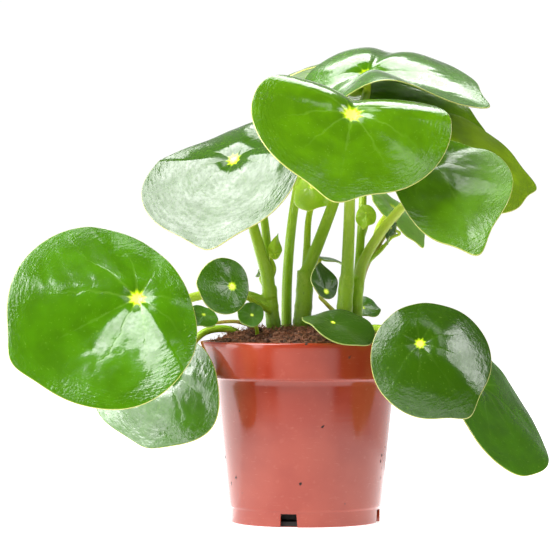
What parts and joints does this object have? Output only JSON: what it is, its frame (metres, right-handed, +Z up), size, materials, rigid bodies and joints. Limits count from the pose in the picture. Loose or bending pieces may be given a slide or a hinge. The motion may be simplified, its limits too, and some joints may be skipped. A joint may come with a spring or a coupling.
{
  "type": "potted raindrop peperomia",
  "caption": "Potted raindrop peperomia: thick glossy round leaves with drip tips on upright stalks, in a tapered round plastic nursery pot with a wide rim, filled with peat.",
  "frame": {"origin": "centre of the pot's flat underside, on the surface that the pot stands on", "axes": "+Z up along the pot's axis, -Y towards the front of the plant, +X to the right as seen from the front"},
  "size_m": [0.3001, 0.2361, 0.2789],
  "materials": {
    "pot_plastic": "satin",
    "potting_soil": "matte",
    "leaf": "gloss",
    "young_leaf": "satin",
    "stem": "satin"
  },
  "bodies": {
    "root": {"pot": "pot_plastic", "soil": "potting_soil", "stem_left": "stem", "stem_back_left": "stem", "stem_centre": "stem", "stem_right": "stem", "stem_far_right": "stem", "stalk_low_left": "stem", "stalk_low_right": "stem", "stalk_far_right": "stem", "stalk_rim_front": "stem", "stalk_small_left": "stem", "stalk_hidden_left": "stem", "stalk_back_right": "stem", "leaf_big_left": "leaf", "leaf_low_left": "leaf", "leaf_upper_left": "leaf", "leaf_crown_front": "leaf", "leaf_crown_back": "leaf", "leaf_under_crown": "leaf", "leaf_right_back": "leaf", "leaf_right_front": "leaf", "leaf_low_right": "leaf", "leaf_far_right": "leaf", "leaf_rim_front": "leaf", "leaf_small_left": "leaf", "leaf_tiny_left": "leaf", "leaf_hidden_left": "leaf", "leaf_dark_small": "leaf", "leaf_back_left": "leaf", "leaf_back_high": "leaf", "leaf_folded": "young_leaf", "leaf_back_low": "leaf", "leaf_pale_right": "young_leaf", "leaf_back_right": "leaf", "leaf_young_left": "young_leaf", "leaf_young_right": "young_leaf", "leaf_dark_right": "leaf", "leaf_tiny_back": "leaf"}
  },
  "joints": []
}
